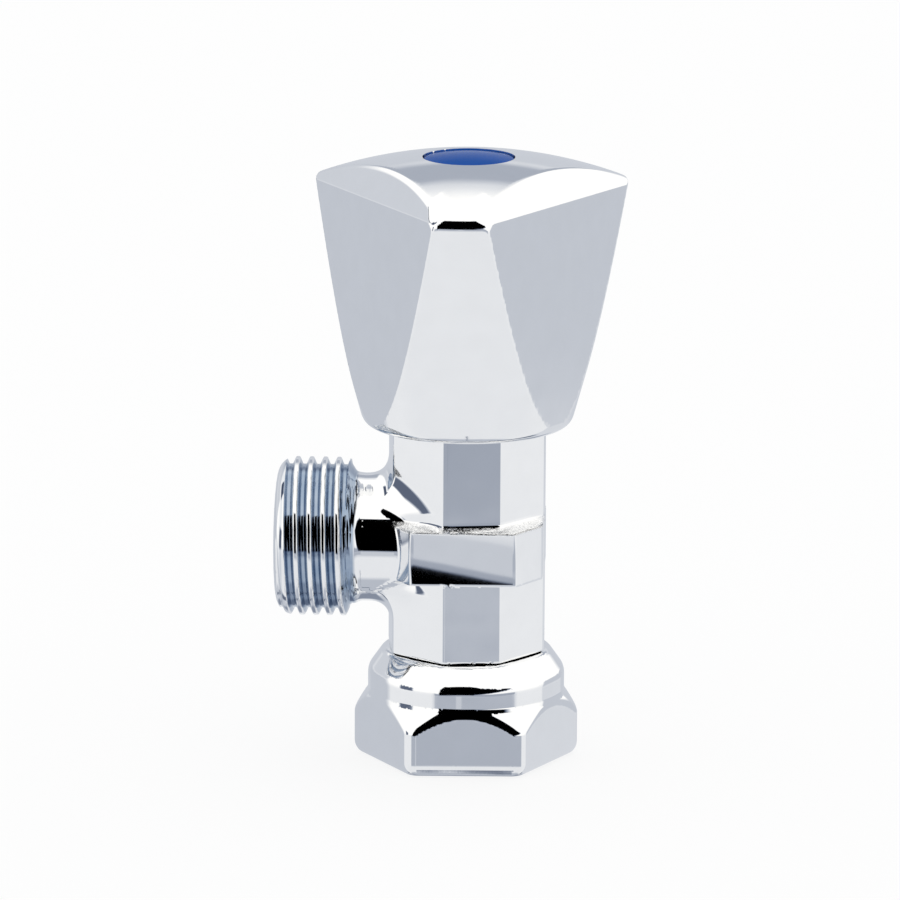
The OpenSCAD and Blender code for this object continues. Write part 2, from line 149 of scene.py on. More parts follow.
class HandleSizes(bpy.types.PropertyGroup):
    """Sizes of the hollow handle."""

    rim: millimetres("Rim height", RIM_Z, "Height of the skirt's rim")
    rim_radius: millimetres("Rim radius", 13.595, "Outer radius of the skirt at its rim")
    flare: FloatProperty(name="Flare", description="Growth of the radius with height",
                         default=0.27742, min=0.0, max=1.0)
    side: millimetres("Side distance", 13.895, "Distance of the three side planes from the axis")
    bevel_z: millimetres("Bevel height", RIM_Z + 30.8, "Height at which the bevels begin")
    bevel_lean: degrees("Bevel lean", 28.8, "Lean of the bevels over the sides")
    dome_top: millimetres("Dome top", RIM_Z + 35.9, "Height of the domed top")
    dome_radius: millimetres("Dome radius", 60.0, "Radius of the domed top")
    edge: millimetres("Edge rounding", 0.75, "Rounding of the long edges")
    crown: millimetres("Crown rounding", 0.62, "Rounding of the edge round the dome")
    mesh_step: millimetres("Mesh step", 0.40, "Spacing of the mesh", 0.15, 2.0)


class FinishColours(bpy.types.PropertyGroup):
    """Colours of the finishes."""

    chrome: colour("Chrome", (0.935, 0.94, 0.945), "Polished chrome plate")
    # painted shade: a bluish dark colour laid into the thread's groove below a radius
    groove: colour("Thread groove", (0.24, 0.33, 0.46), "Thin plate in the thread's groove")
    brass: colour("Brass", (0.72, 0.53, 0.22), "Turned brass")
    steel: colour("Spring steel", (0.60, 0.61, 0.63), "Stainless spring steel")
    rubber: colour("Rubber", (0.035, 0.035, 0.038), "Moulded black rubber")
    acetal: colour("Acetal", (0.84, 0.81, 0.73), "Natural acetal")
    blue: colour("Blue", (0.006, 0.078, 0.37), "Blue plastic")
    floor: colour("Floor", (0.93, 0.935, 0.94), "Pale studio floor")


class StudioSettings(bpy.types.PropertyGroup):
    """Camera and studio."""

    azimuth: degrees("Azimuth", 3.0, "Turn of the camera from the front")
    tilt: degrees("Tilt", 13.13, "Downward tilt of the camera")
    roll: degrees("Roll", 0.276, "Roll of the camera")
    eye: FloatVectorProperty(name="Eye", description="Camera place before its azimuth turn",
                             default=(-0.002277, -0.848161, 0.239030), size=3, subtype="XYZ",
                             unit="LENGTH", precision=5)
    lens: FloatProperty(name="Lens", description="Focal length in millimetres on 36 mm",
                        default=264.6, min=20.0, max=600.0)


SETTINGS = {
    "valve_column": ColumnSizes,
    "valve_thread": ThreadSizes,
    "valve_nut": NutSizes,
    "valve_handle": HandleSizes,
    "valve_finish": FinishColours,
    "valve_studio": StudioSettings,
}


# Shader and geometry trees


def maths(operation):
    """Two methods that write a Math node: the operator's own form and its reflected one."""
    return (lambda self, other: self.call(operation, other),
            lambda self, other: self.write(operation, other, self))


class Wire:
    """A node socket that can be used in sums."""

    __add__, __radd__ = maths("ADD")
    __sub__, __rsub__ = maths("SUBTRACT")
    __mul__, __rmul__ = maths("MULTIPLY")
    __truediv__, __rtruediv__ = maths("DIVIDE")
    __pow__, __rpow__ = maths("POWER")

    def __init__(self, tree, socket):
        self.tree, self.socket = tree, socket

    def write(self, operation, *values):
        """A Math node on any values."""
        return self.tree.node("ShaderNodeMath", {"operation": operation},
                              dict(enumerate(values)))

    def call(self, operation, *values):
        """A Math node on this value and others."""
        return self.write(operation, self, *values)

    def between(self, low, high):
        """Value held between two limits."""
        return self.call("MAXIMUM", low).call("MINIMUM", high)


class Tree:
    """Writes nodes into a shader or geometry tree."""

    def __init__(self, tree):
        self.tree = tree

    def node(self, kind, settings=None, inputs=None, out=0):
        """Adds a node: settings first, then the values and links of its sockets."""
        made = self.tree.nodes.new(kind)
        for name, value in (settings or {}).items():
            setattr(made, name, value)
        for name, value in (inputs or {}).items():
            socket = made.inputs[name]
            if isinstance(value, Wire):
                self.tree.links.new(value.socket, socket)
            else:
                socket.default_value = value
        return Wire(self, made.outputs[out])

    def another(self, wire, out):
        """Another output of the node that a wire comes from."""
        return Wire(self, wire.socket.node.outputs[out])


# Signed distances, in millimetres, negative inside, and how they are meshed

HALVINGS = 6
# share of a cell: pull to the mean of a cell's crossings, margin to its walls, longest move
PULL, MARGIN, LONGEST_MOVE = 0.02, 0.02, 0.3
# turn of the normal past which an edge is crisp, and how far in such a corner takes its normal
CRISP, INWARD = math.radians(24), 0.4


def smooth_max(a, b, width):
    """The larger distance, with the edge rounded over a width."""
    h = np.maximum(width - np.abs(a - b), 0.0) / width
    return np.maximum(a, b) + h * h * width * 0.25


def smooth_min(a, b, width):
    """The smaller distance, with the corner filled over a width."""
    return -smooth_max(-a, -b, width)


def outline_distance(points, u, v):
    """Signed distance in a plane to a closed outline."""
    nearest = np.full(u.shape, np.inf)
    inside = np.zeros(u.shape, bool)
    for (u0, v0), (u1, v1) in zip(points, points[1:] + points[:1]):
        du, dv = u1 - u0, v1 - v0
        along = ((u - u0) * du + (v - v0) * dv) / max(du * du + dv * dv, TINY)
        along = np.clip(along, 0.0, 1.0)
        nearest = np.minimum(nearest, (u - u0 - along * du) ** 2 + (v - v0 - along * dv) ** 2)
        crosses = (v0 > v) != (v1 > v)
        if dv:
            inside ^= crosses & (u < u0 + (v - v0) * du / dv)
    return np.sqrt(nearest) * np.where(inside, -1.0, 1.0)


def xyz_reach(p):
    """The three coordinates of points, and how far they are from the column axis."""
    return p[:, 0], p[:, 1], p[:, 2], np.hypot(p[:, 0], p[:, 1])


def folded_sides(x, y, sides, first):
    """Distance from the axis along the nearest and second nearest of evenly turned sides."""
    step = 2 * math.pi / sides
    reach = np.hypot(x, y)
    off = np.abs((np.arctan2(y, x) - first + step / 2) % step - step / 2)
    return reach * np.cos(off), reach * np.cos(step - off)


def prism(x, y, sides, first, inner, rounding):
    """Distance to an upright prism with rounded edges."""
    near, second = folded_sides(x, y, sides, first)
    return smooth_max(near - inner, second - inner, rounding)


def faceted(x, y, planes, bulge, rounding):
    """Distance to upright planes, each an angle and a distance, faintly bulged and rounded."""
    reach = np.hypot(x, y)
    away = []
    for angle, inner in planes:
        near = x * math.cos(angle) + y * math.sin(angle)
        away.append(near - inner + (reach ** 2 - near ** 2) / (2 * bulge))
    away = np.sort(np.array(away), axis=0)
    return smooth_max(away[-1], away[-2], rounding)


def arc(centre, radius, start, end, steps):
    """Points of an arc in a plane, angles in degrees."""
    return [(centre[0] + radius * math.cos(math.radians(start + (end - start) * k / steps)),
             centre[1] + radius * math.sin(math.radians(start + (end - start) * k / steps)))
            for k in range(steps + 1)]


def smooth_step(value, low, high):
    """Soft rise from 0 to 1."""
    t = np.clip((value - low) / (high - low), 0.0, 1.0)
    return t * t * (3 - 2 * t)


def slope_of(field, points, reach=0.004):
    """Unit slope of a distance field."""
    out = np.empty_like(points)
    for axis in range(3):
        step = np.zeros(3)
        step[axis] = reach
        out[:, axis] = field(points + step) - field(points - step)
    return out / np.maximum(np.linalg.norm(out, axis=1, keepdims=True), TINY)


def field_samples(field, axes):
    """Distances at the corners of a box of cells."""
    values = np.empty([len(a) for a in axes])
    plane_y, plane_z = np.meshgrid(axes[1], axes[2], indexing="ij")
    for i, x in enumerate(axes[0]):
        points = np.stack([np.full(plane_y.shape, x), plane_y, plane_z], -1).reshape(-1, 3)
        values[i] = field(points).reshape(plane_y.shape)
    return values


def crossings(field, values, axes, axis):
    """Cell edges along one axis that the surface crosses: index, place, slope and way."""
    take = [slice(None)] * 3
    take[axis] = slice(0, -1)
    start = values[tuple(take)]
    take[axis] = slice(1, None)
    end = values[tuple(take)]
    index = np.argwhere((start < 0) != (end < 0))
    f0, f1 = start[tuple(index.T)], end[tuple(index.T)]
    p0 = np.stack([axes[a][index[:, a]] for a in range(3)], -1)
    low, high = np.zeros(len(index)), np.ones(len(index))
    step = axes[axis][1] - axes[axis][0]
    fl, fh = f0.copy(), f1.copy()
    place = p0.copy()
    for turn in range(HALVINGS):
        middle = low + (high - low) * (fl / (fl - fh)) if turn % 2 == 0 else (low + high) / 2
        place[:, axis] = p0[:, axis] + middle * step
        fm = field(place)
        same = (fm < 0) == (fl < 0)
        low, fl = np.where(same, middle, low), np.where(same, fm, fl)
        high, fh = np.where(same, high, middle), np.where(same, fh, fm)
    share = low + (high - low) * fl / np.where(fl == fh, 1, fl - fh)
    place[:, axis] = p0[:, axis] + share * step
    return index, place, slope_of(field, place), f0 < 0


def field_mesh(name, field, low, high, step):
    """Mesh of a distance field's surface, one point to a cell, set on its edges."""
    axes = [np.arange(a, b + step, step) for a, b in zip(low, high)]
    values = field_samples(field, axes)
    cells = [len(a) for a in axes]
    owners, places, slopes, quads = [], [], [], []
    for axis in range(3):
        index, place, slope, leaves = crossings(field, values, axes, axis)
        b, c = (axis + 1) % 3, (axis + 2) % 3
        ring = []
        for back_b, back_c in ((1, 1), (0, 1), (0, 0), (1, 0)):
            cell = index.copy()
            cell[:, b] -= back_b
            cell[:, c] -= back_c
            ring.append((cell[:, 0] * cells[1] + cell[:, 1]) * cells[2] + cell[:, 2])
            owners.append(ring[-1])
            places.append(place)
            slopes.append(slope)
        ring = np.stack(ring, -1)
        quads.append(np.where(leaves[:, None], ring, ring[:, ::-1]))
    owners, places, slopes = (np.concatenate(v) for v in (owners, places, slopes))
    names, row = np.unique(owners, return_inverse=True)
    total = len(names)

    def summed(weights):
        return np.bincount(row, weights, total)

    count = summed(np.ones(len(row)))
    mean = np.stack([summed(places[:, a]) for a in range(3)], -1) / count[:, None]
    offset = ((places - mean[row]) * slopes).sum(1)
    right = np.stack([summed(slopes[:, a] * offset) for a in range(3)], -1)
    square = np.empty((total, 3, 3))
    for a in range(3):
        for d in range(3):
            square[:, a, d] = summed(slopes[:, a] * slopes[:, d])
    square += (PULL * count)[:, None, None] * np.eye(3)
    points = mean + np.linalg.solve(square, right[:, :, None])[:, :, 0]
    corner = np.stack([axes[0][names // (cells[1] * cells[2])],
                       axes[1][names // cells[2] % cells[1]], axes[2][names % cells[2]]], -1)
    points = np.clip(points, corner + MARGIN * step, corner + (1 - MARGIN) * step)
    # back on to the surface
    for _ in range(2):
        slope = slope_of(field, points)
        away = np.clip(field(points), -LONGEST_MOVE * step, LONGEST_MOVE * step)
        points = points - slope * away[:, None]
    faces = np.searchsorted(names, np.concatenate(quads))
    return shaded_mesh(name, field, points, faces)


def shaded_mesh(name, field, points, faces):
    """Mesh with corner normals from the field, crisp where the field has an edge."""
    mesh = bpy.data.meshes.new(name)
    mesh.from_pydata((points * MM).tolist(), [], faces.tolist())
    mesh.validate()
    faces = np.empty(len(mesh.loops), np.int64)
    mesh.loops.foreach_get("vertex_index", faces)
    faces = faces.reshape(-1, 4)
    slope = slope_of(field, points)
    corners = points[faces]
    across = np.cross(corners[:, 2] - corners[:, 0], corners[:, 3] - corners[:, 1])
    across /= np.maximum(np.linalg.norm(across, axis=1, keepdims=True), TINY)
    normals = slope[faces]
    turned = (normals * across[:, None, :]).sum(-1) < math.cos(CRISP)
    face, corner = np.nonzero(turned)
    centre = corners.mean(1)
    inward = corners[face, corner] + INWARD * (centre[face] - corners[face, corner])
    normals[face, corner] = slope_of(field, inward)
    mesh.shade_smooth()
    mesh.normals_split_custom_set(normals.reshape(-1, 3).tolist())
    return mesh


def placed(name, data):
    """A new object in the scene."""
    made = bpy.data.objects.new(name, data)
    bpy.context.scene.collection.objects.link(made)
    return made


def piece(name, mesh, body, slot, material=None):
    """Puts a finished mesh into the scene, on its body."""
    made = placed(name, mesh)
    mesh.materials.clear()
    mesh.materials.append(material or finish(slot))
    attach(made, body)
    return made


# Fields of the pieces


def column_field(sizes):
    """Forged body: eight-sided column, square band, neck and water way."""
    inner, bulge = sizes.flats / 2, 110.0
    # how far the polisher took each facet down, from the front one round by the right
    polished = (0.0, 0.44, 0.12, 0.0, 0.0, 0.0, 0.12, 0.20)
    facets = [(math.radians(45 * k - 90) + sizes.turn, inner - down)
              for k, down in enumerate(polished)]
    # roundings of the edges
    facet_edge, side_edge, corner_edge, low_edge = 0.2, 0.2, 0.16, 0.1
    foot_edge, rim_edge = 0.12, 0.4
    nut_gap, band_drop, side_in = 0.15, 0.4, 0.02
    foot, top, outlet_z = NUT_TOP + nut_gap, sizes.top, sizes.outlet_z
    band_low = outlet_z - sizes.band_height / 2 - band_drop
    band_high = band_low + sizes.band_height
    pad, side = inner + sizes.band_out, inner - side_in
    # direction of the corner cuts, then the dish: its lowest line, slant and standing rim
    corner_x, corner_y = 0.826, 0.563
    dish_low, dish_slant, dish_rise = 2.75, 0.170, 0.14
    # the neck's rounding is tight at the band and full a little away from it
    neck_start, tight, tight_until, full_from = 3.0, 0.4, -0.4, 2.4
    # how far the outlet's bore and the narrower port behind it reach in
    bore_gap, bore_stop, port_less, port_in = 0.02, 0.75, 1.6, 1.3
    seat_z, tail_bore, chamber = outlet_z - sizes.seat_drop, 6.82, 7.6
    bonnet_bore, bonnet_z, mouth = 8.201, top - 10.7, 0.5
    water = [(-5, foot - 3), (tail_bore, foot - 3), (tail_bore, seat_z - 1),
             (chamber, seat_z - 1), (chamber, bonnet_z), (bonnet_bore, bonnet_z),
             (bonnet_bore, top - mouth), (bonnet_bore + mouth, top),
             (bonnet_bore + mouth, top + 3), (-5, top + 3)]

    def field(p):
        x, y, z, reach = xyz_reach(p)
        column = faceted(x, y, facets, bulge, facet_edge)
        # square band with cut corners, a faintly dished pad and a hollow over its top edge
        dished = sizes.dish / 2 * (z - band_low - dish_low + dish_slant * x) ** 2 - dish_rise
        square = smooth_max(np.maximum(-y - pad - dished, y - pad), np.abs(x) - side, side_edge)
        cut = np.abs(x) * corner_x + np.abs(y) * corner_y - sizes.band_cut
        square = smooth_max(square, cut, corner_edge)
        up = np.clip((z - band_high) / sizes.band_cove, 0.0, 1.0)
        melt = np.sqrt(1 - (1 - up) ** 2)
        band = smooth_max(square * (1 - melt) + column * melt, band_low - z, low_edge)
        band = np.where(z > band_high + sizes.band_cove, column, band)
        wall = np.minimum(column, band)
        wall = smooth_max(wall, foot - z, foot_edge)
        wall = smooth_max(wall, z - top, rim_edge)
        # neck
        round_neck = np.hypot(y, z - outlet_z)
        off_band = np.maximum(band_low - z, z - band_high)
        fillet = smooth_step(off_band, tight_until, full_from)
        neck = np.maximum(round_neck - sizes.neck_radius, x + neck_start)
        body = smooth_min(wall, neck, tight + (sizes.neck_fillet - tight) * fillet)
        body = np.maximum(body, -x - sizes.neck_end)
        body = np.maximum(body, -outline_distance(water, reach, z))
        # water way of the outlet
        bore = np.maximum(round_neck - sizes.bore_radius - bore_gap, x + pad + bore_stop)
        port = np.maximum(round_neck - sizes.bore_radius + port_less, x + chamber - port_in)
        return np.maximum(body, -np.minimum(bore, port))

    return field


def nut_field(sizes):
    """Union nut: hexagon, turned outside, bore for its thread, relief and web hole."""
    corner = sizes.flats / 2 / math.cos(math.radians(30))
    collar, top, r = sizes.flats / 2 - 0.05, sizes.top, sizes.shoulder
    slope_top = sizes.corner_height + sizes.slope_height
    # roundings of the foot, the rim, the hexagon's corners and the turned chamfer
    foot, rim, edge, turning = 0.9, 1.2, 0.9, 0.5
    # angle at which the arcs of shoulder and rim meet, and how far the foot draws in
    meet, draw = 31, 0.72
    outside = ([(0, 0), (corner - foot, 0)] + arc((corner - foot, foot), foot, -90, 0, 6)[1:]
               + [(corner, sizes.corner_height), (collar + 0.12, slope_top - 0.2),
                  (collar, slope_top + 0.25)]
               + arc((collar - r, top - 3.5), r, 0, meet, 6)
               + arc((collar - 2.6, top - rim), rim, meet, 90, 6) + [(0, top)])
    thread_wall, thread_top, relief, web, hole, chamfer = 10.75, 7.75, 10.4, 2.6, 7.65, 0.3
    inside = [(-5, -3), (11.6, -3), (thread_wall, 0.02), (thread_wall, thread_top),
              (relief, thread_top), (relief, top - web), (hole, top - web),
              (hole, top - chamfer), (hole + chamfer, top + 0.001),
              (hole + chamfer, top + 3), (-5, top + 3)]

    def field(p):
        x, y, z, reach = xyz_reach(p)
        hexagon = prism(x, y, 6, sizes.turn + math.radians(30), sizes.flats / 2, edge)
        # the flats draw in at the foot
        hexagon = hexagon + draw * np.clip(1 - z / sizes.foot_height, 0.0, 1.0) ** 2
        body = smooth_max(hexagon, outline_distance(outside, reach, z), turning)
        return np.maximum(body, -outline_distance(inside, reach, z))

    return field


def handle_field(sizes):
    """Hollow handle: flared cone cut by three sides, bevels and a dome."""
    slant = math.hypot(1.0, sizes.flare)
    rim, side, first = sizes.rim, sizes.side, math.radians(90)
    lean, dome_centre = sizes.bevel_lean, sizes.dome_top - sizes.dome_radius
    bevel_edge, rim_edge, front_more = 0.16, 1.5, 1.7
    front_from, front_full = 0.975, 0.988
    wall, hollow_low, hollow_top = 1.8, rim + 5, sizes.bevel_z - 0.7
    spline_z, web_z, well_z = rim + 11.14, rim + 19.99, rim + 21.19
    hub, pocket, rib, rib_in = 8.586, 6.05, 0.8, 1
    rib_z, socket_z = spline_z + 4, spline_z - 4
    screw_hole, well_radius, cap_hole, cap_floor = 2.2, 4.8, CAP_RADIUS + 0.1, rim + 33.504

    def cone_r(z):
        return sizes.rim_radius + (z - rim) * sizes.flare

    mouth, mouth_z, room_top = sizes.rim_radius - wall, rim + 5.6, rim + 6.4
    room = [(-5, rim - 3), (mouth, rim - 3), (mouth, mouth_z), (mouth - 0.6, room_top),
            (-5, room_top)]
    well = [(-5, web_z - 1), (screw_hole, web_z - 1), (screw_hole, well_z),
            (well_radius, well_z), (well_radius, cap_floor), (cap_hole, cap_floor),
            (cap_hole, sizes.dome_top + 3), (-5, sizes.dome_top + 3)]

    def field(p):
        x, y, z, reach = xyz_reach(p)
        near, _ = folded_sides(x, y, 3, first)
        cone = (reach - cone_r(z)) / slant
        # the long edge keeps its rounding as the cone and the side meet more flatly
        meets = np.clip(1 - side / np.maximum(cone_r(z), side + 0.05), 0.02, 1.0)
        shell = smooth_max(cone, near - side, sizes.edge * meets)
        bevel = (near - side) * math.cos(lean) + (z - sizes.bevel_z) * math.sin(lean)
        shell = smooth_max(shell, bevel, bevel_edge)
        # the dome's edge is rounder on the front corner
        dome = np.sqrt(reach ** 2 + (z - dome_centre) ** 2) - sizes.dome_radius
        front = smooth_step(-y / np.maximum(reach, 1.0), front_from, front_full)
        shell = smooth_max(shell, dome, sizes.crown + front_more * front)
        shell = smooth_max(shell, rim - z, rim_edge)
        # hollow with the hub and three ribs left standing
        inner = np.maximum((reach - cone_r(z) + wall) / slant, near - side + wall)
        inner = np.maximum(inner, np.maximum(z - hollow_top, hollow_low - z))
        inner = np.minimum(inner, outline_distance(room, reach, z))
        hub_solid = np.maximum(reach - hub, spline_z - z)
        rib_near, _ = folded_sides(x, y, 3, math.radians(-90))
        rib_off = np.sqrt(np.maximum(reach ** 2 - rib_near ** 2, 0))
        ribs = np.maximum(rib_off - rib, rib_z - z)
        ribs = np.maximum(ribs, hub - rib_in - rib_near)
        inner = np.maximum(inner, -np.minimum(hub_solid, ribs))
        # socket of the insert, then the well of the screw and the cap
        pocket_near, _ = folded_sides(x, y, 6, 0.0)
        socket = np.maximum(pocket_near - pocket, np.maximum(z - web_z, socket_z - z))
        inner = np.minimum(inner, np.minimum(socket, outline_distance(well, reach, z)))
        return np.maximum(shell, -inner)

    return field


def lathe_mesh(name, outline, steps):
    """Closed mesh of an outline turned round the column axis."""
    bm = bmesh.new()
    rings = []
    for radius, height in outline:
        if radius < TINY:
            rings.append([bm.verts.new((0, 0, height * MM))])
        else:
            rings.append([bm.verts.new((radius * MM * math.cos(2 * math.pi * k / steps),
                                        radius * MM * math.sin(2 * math.pi * k / steps),
                                        height * MM)) for k in range(steps)])
    for low, high in zip(rings, rings[1:] + rings[:1]):
        if len(low) == len(high) == 1:
            continue
        for k in range(steps):
            n = (k + 1) % steps
            around = ((low, k), (low, n), (high, n), (high, k))
            corners = [ring[i % len(ring)] for ring, i in around]
            bm.faces.new(list(dict.fromkeys(corners)))
    bmesh.ops.recalc_face_normals(bm, faces=bm.faces)
    mesh = bpy.data.meshes.new(name)
    bm.to_mesh(mesh)
    bm.free()
    mesh.shade_smooth()
    mesh.set_sharp_from_angle(angle=math.radians(35))
    return mesh


# Threads by geometry nodes, in millimetres

WELD = 0.0004
# turns of the sheet past each end, where its rows lie flat against the end
SPARE_TURNS = 2
# shares of a straight and of a rounded flank
STRAIGHT, ROUNDED = 0.55, 0.45


def thread_tree(name):
    """Tree of a sleeve whose one wall is a screw thread and whose other wall is plain.

    The sheet's rows climb one pitch in a turn, so that both its side edges meet.
    """
    tree = bpy.data.node_groups.new(name, "GeometryNodeTree")
    face = tree.interface
    lengths = {
        "Crest radius": 10.478, "Root radius": 9.316, "Pitch": 1.814, "Crest width": 0.4,
        "Flank width": 0.605, "Start": 0.0, "End": 10.0, "Phase": 0.0, "Start radius": 9.0,
        "Run-out start": 0.0, "Run-out length": 1.0, "End radius": 9.0, "End rounding": 1.0}
    counts = {"Around": 96, "Per pitch": 16, "Rows": 100}
    for kind, defaults in (("NodeSocketFloat", lengths), ("NodeSocketInt", counts)):
        for title, value in defaults.items():
            face.new_socket(title, in_out="INPUT", socket_type=kind).default_value = value
    face.new_socket("Material", in_out="INPUT", socket_type="NodeSocketMaterial")
    face.new_socket("Geometry", in_out="OUTPUT", socket_type="NodeSocketGeometry")
    t = Tree(tree)
    given = t.node("NodeGroupInput")

    def size(title):
        return t.another(given, title)

    sheet = t.node("GeometryNodeMeshGrid", inputs={
        "Size X": 1.0, "Size Y": 1.0,
        "Vertices X": size("Around") + 1, "Vertices Y": size("Rows")})
    where = t.node("ShaderNodeSeparateXYZ", inputs={0: t.node("GeometryNodeInputPosition")})
    turn = where + 0.5
    row = (t.another(where, 1) + 0.5) * (size("Rows") - 1)
    pitch = size("Pitch")
    # height of this point on the endless screw, then held between the two ends
    rise = (row / size("Per pitch") - SPARE_TURNS + turn) * pitch + size("Start")
    level = rise.between(size("Start"), size("End"))
    part = ((level - size("Phase")) / pitch - turn).call("FRACT")
    off_crest = (part - 0.5).call("ABSOLUTE") * pitch
    height = (size("Crest width") / 2 + size("Flank width") - off_crest) / size("Flank width")
    height = height.between(0.0, 1.0)
    # rounded corners of crest and root
    soft = height * height * (3.0 - 2.0 * height)
    height = height * STRAIGHT + soft * ROUNDED
    radius = size("Root radius") + (size("Crest radius") - size("Root radius")) * height
    # run-out at the start
    rest = ((level - size("Run-out start")) / size("Run-out length")).between(0.0, 1.0)
    rest = 1.0 - (1.0 - rest * rest).call("SQRT")
    radius = size("Start radius") + (radius - size("Start radius")) * rest
    # rounded nose at the end
    past = ((level - size("End") + size("End rounding")) / size("End rounding")).between(0.0, 1.0)
    nose = (1.0 - past * past).call("SQRT")
    limit = size("End radius") + (size("Crest radius") - size("End radius")) * nose
    radius = radius.call("MINIMUM", limit)
    angle = turn * (2 * math.pi)
    spot = t.node("ShaderNodeCombineXYZ", inputs={
        0: radius * angle.call("COSINE"), 1: radius * angle.call("SINE"), 2: level})
    thread = t.node("GeometryNodeSetPosition", inputs={"Geometry": sheet, "Position": spot})
    made = t.node("GeometryNodeMergeByDistance", inputs={"Geometry": thread, "Distance": WELD})
    real = t.node("GeometryNodeRealizeInstances", inputs={"Geometry": made})
    done = t.node("GeometryNodeSetMaterial", inputs={
        "Geometry": real, "Material": size("Material")})
    tree.links.new(done.socket, tree.nodes.new("NodeGroupOutput").inputs[0])
    return tree


def thread_mesh(name, values, material):
    """Runs the thread tree and returns its plain mesh, in millimetres, along +Z."""
    tree = thread_tree(name + "_tree")
    holder = placed(name + "_holder", bpy.data.meshes.new(name + "_holder"))
    modifier = holder.modifiers.new("thread", "NODES")
    modifier.node_group = tree
    named = {i.name: i.identifier for i in tree.interface.items_tree if i.item_type == "SOCKET"}
    for title, value in dict(values, Material=material).items():
        modifier[named[title]] = value
    graph = bpy.context.evaluated_depsgraph_get()
    mesh = bpy.data.meshes.new_from_object(holder.evaluated_get(graph))
    holder.modifiers.remove(modifier)
    bpy.data.objects.remove(holder)
    mesh.name = name
    return mesh


def close_sleeve(mesh, wall):
    """Closes a threaded sheet into a sleeve: joins its two round edges by a plain wall."""
    bm = bmesh.new()
    bm.from_mesh(mesh)
    bmesh.ops.remove_doubles(bm, verts=bm.verts, dist=WELD)
    edges = [e for e in bm.edges if e.is_boundary]
    middle = sum(v.co.z for v in bm.verts) / len(bm.verts)
    loops = [[e for e in edges if (e.verts[0].co.z > middle) == high] for high in (False, True)]
    ends = []
    for loop, rings in zip(loops, wall):
        for radius, height in rings:
            grown = bmesh.ops.extrude_edge_only(bm, edges=loop)["geom"]
            loop = [g for g in grown if isinstance(g, bmesh.types.BMEdge) and g.is_boundary]
            for v in {v for e in loop for v in e.verts}:
                flat = Vector((v.co.x, v.co.y)).normalized() * radius
                v.co = (flat.x, flat.y, height)
        ends.append(loop)
    bmesh.ops.bridge_loops(bm, edges=ends[0] + ends[1])
    bmesh.ops.recalc_face_normals(bm, faces=bm.faces)
    bm.to_mesh(mesh)
    bm.free()
    return mesh


def threaded_sleeve(name, thread, values, wall, place, material):
    """Sleeve with a screw thread, closed by a plain wall and put in its place."""
    rows = int((values["End"] - values["Start"]) / thread.pitch * thread.per_pitch)
    rows += 2 * SPARE_TURNS * thread.per_pitch
    mesh = thread_mesh(name, {
        **values, "Pitch": thread.pitch, "Crest width": thread.land, "Around": thread.around,
        "Per pitch": thread.per_pitch, "Rows": rows}, material)
    mesh = close_sleeve(mesh, wall)
    mesh.transform(place @ Matrix.Scale(MM, 4))
    mesh.shade_smooth()
    mesh.set_sharp_from_angle(angle=math.radians(50))
    return mesh


# Finishes

# noise scales of the chrome, in cells to a metre
HILLS, HAIRLINES, CLOUD, GRIT = 110.0, 2600.0, 320.0, 3200.0


def new_material(name):
    """Empty material, its tree writer and its output."""
    made = bpy.data.materials.new(name)
    made.use_nodes = True
    made.node_tree.nodes.clear()
    return made, Tree(made.node_tree)


def finish_material(t, shader):
    """Joins a shader to the material's output."""
    out = t.tree.nodes.new("ShaderNodeOutputMaterial")
    t.tree.links.new(shader.socket, out.inputs["Surface"])


def noise(t, scale, detail=2.0, roughness=0.5, stretch=None):
    """Noise in the piece's own space, scale in cells per metre."""
    place = t.node("ShaderNodeTexCoord", out="Object")
    if stretch:
        place = t.node("ShaderNodeMapping", inputs={"Vector": place, "Scale": stretch})
    return t.node("ShaderNodeTexNoise", inputs={
        "Vector": place, "Scale": scale, "Detail": detail, "Roughness": roughness})


def coordinate(t, axis):
    """One coordinate in the piece's own space, in millimetres."""
    place = t.node("ShaderNodeTexCoord", out="Object")
    return t.another(t.node("ShaderNodeSeparateXYZ", inputs={0: place}), axis) / MM


def mixed(t, mask, first, second):
    """Two colours mixed by a mask."""
    return t.node("ShaderNodeMix", {"data_type": "RGBA"}, {
        "Factor": mask, "A": first, "B": second}, out="Result")


def tinted(t, base, amount, mask):
    """A colour and a lighter or darker neighbour of it, mixed by a mask."""
    return mixed(t, mask, (*base, 1.0), (*[min(1.0, c * amount) for c in base], 1.0))


def bumped(t, strength, depth, height, under=None):
    """A bump, laid over another one where it is given."""
    inputs = {"Strength": strength, "Distance": depth, "Height": height}
    if under:
        inputs["Normal"] = under
    return t.node("ShaderNodeBump", inputs=inputs)


